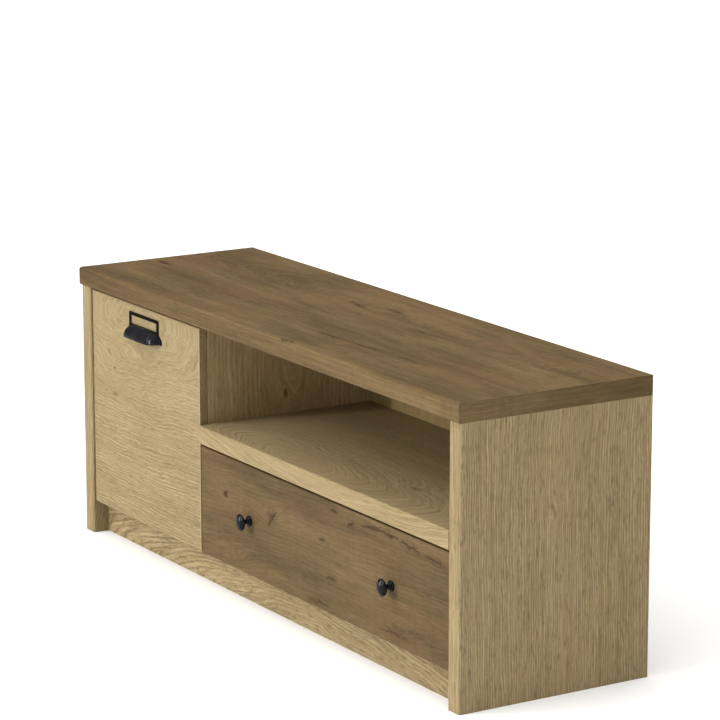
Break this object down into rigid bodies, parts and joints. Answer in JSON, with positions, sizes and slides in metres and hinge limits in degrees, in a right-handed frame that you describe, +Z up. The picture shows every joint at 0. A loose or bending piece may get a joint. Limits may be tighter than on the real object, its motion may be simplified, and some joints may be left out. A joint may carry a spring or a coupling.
{
  "type": "tv stand",
  "caption": "Low oak-finish television stand with a side-hinged cupboard door, an open niche over a wide drawer, a cup pull with label frame and mushroom knobs.",
  "frame": {"origin": "on the floor under the middle of the whole stand's bounding box, knobs included", "axes": "+X to the right seen from the front, -Y out of the front, +Z up"},
  "size_m": [1.395, 0.422, 0.55],
  "materials": {
    "light_oak": "matt light oak decor with a fine pore grain",
    "dark_oak": "matt brown rustic oak decor with knots and cracks",
    "back_board": "printed fibreboard",
    "drawer_board": "off-white coated board",
    "beech": "raw fluted beech",
    "zinc": "zinc plated",
    "nickel_steel": "nickel plated pressed steel",
    "runner_steel": "zinc plated rolled steel",
    "black_metal": "satin black coating",
    "bumper_rubber": "clear soft bumper"
  },
  "bodies": {
    "carcass": {"top_panel": "dark_oak", "left_side_panel": "light_oak", "right_side_panel": "light_oak", "partition": "light_oak", "bottom_panel": "light_oak", "niche_shelf": "light_oak", "plinth_front": "light_oak", "plinth_rear": "light_oak", "back_panel": "back_board", "cupboard_shelf": "light_oak", "shelf_pins": "nickel_steel", "wood_dowels": "beech", "cam_bolts": "zinc", "cam_housings": "zinc", "door_bumpers": "bumper_rubber", "hinge_plate_upper": "nickel_steel", "hinge_plate_lower": "nickel_steel", "hinge_arm_upper": "nickel_steel", "hinge_arm_lower": "nickel_steel", "hinge_plate_screws": "zinc", "hinge_arm_screws": "zinc", "runner_cabinet_left": "runner_steel", "runner_cabinet_right": "runner_steel", "runner_cabinet_screws": "zinc"},
    "door": {"door_panel": "light_oak", "hinge_cup_upper": "nickel_steel", "hinge_cup_lower": "nickel_steel", "hinge_pins": "nickel_steel", "hinge_cup_screws": "zinc", "door_handle": "black_metal", "handle_screws": "black_metal"},
    "drawer": {"drawer_front": "dark_oak", "drawer_side_left": "drawer_board", "drawer_side_right": "drawer_board", "drawer_back": "drawer_board", "drawer_bottom": "drawer_board", "drawer_cam_bolts": "zinc", "drawer_cam_housings": "zinc", "drawer_back_screws": "zinc", "knob_left": "black_metal", "knob_right": "black_metal", "knob_screws": "zinc", "runner_drawer_left": "runner_steel", "runner_drawer_right": "runner_steel", "runner_drawer_screws": "zinc"},
    "runner_middle_left": {"runner_middle_left": "runner_steel"},
    "runner_middle_right": {"runner_middle_right": "runner_steel"}
  },
  "joints": [
    {"name": "door_swing", "type": "hinge", "parent": "carcass", "child": "door", "pos_m": [-0.6445, -0.176, 0.2885], "axis": [0, 0, -1], "range_deg": [0, 100]},
    {"name": "drawer_slide", "type": "slide", "parent": "carcass", "child": "drawer", "axis": [0, -1, 0], "range_m": [0, 0.33]},
    {"name": "runner_left_slide", "type": "slide", "parent": "carcass", "child": "runner_middle_left", "axis": [0, -1, 0], "range_m": [0, 0.165]},
    {"name": "runner_right_slide", "type": "slide", "parent": "carcass", "child": "runner_middle_right", "axis": [0, -1, 0], "range_m": [0, 0.165]}
  ],
  "couplings": [
    {"joint": "runner_left_slide", "follows": "drawer_slide", "ratio": 0.5},
    {"joint": "runner_right_slide", "follows": "drawer_slide", "ratio": 0.5}
  ]
}
